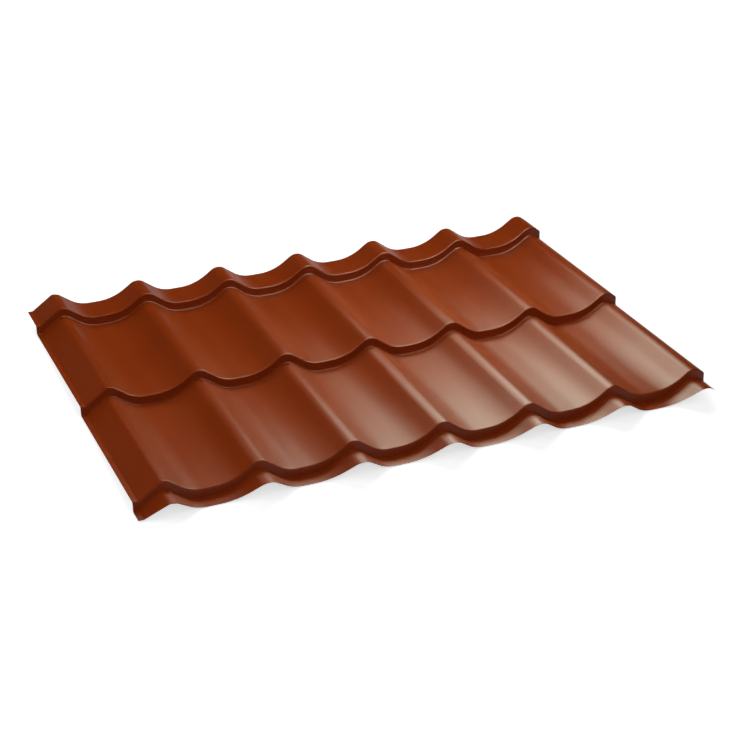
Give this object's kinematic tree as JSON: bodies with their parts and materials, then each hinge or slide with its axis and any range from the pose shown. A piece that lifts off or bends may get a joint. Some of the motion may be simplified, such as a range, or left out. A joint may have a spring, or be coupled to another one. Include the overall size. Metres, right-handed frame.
{
  "type": "metal roofing sheet",
  "caption": "Steel roofing sheet pressed in a tile pattern: a rounded wave across its width, low steps across its length, a side lap at each edge and a slanted front cut.",
  "frame": {"origin": "bottom centre of the sheet's box, on the floor it lies on", "axes": "+X across the waves towards the lapping flank, +Y up the roof slope towards the back edge, +Z out of the roof"},
  "size_m": [1.1814, 0.8244, 0.0532],
  "materials": {
    "painted_steel": "semi-matt, finely grained brick-brown coating on galvanised steel"
  },
  "bodies": {
    "root": {"roof_sheet": "painted_steel"}
  },
  "joints": []
}
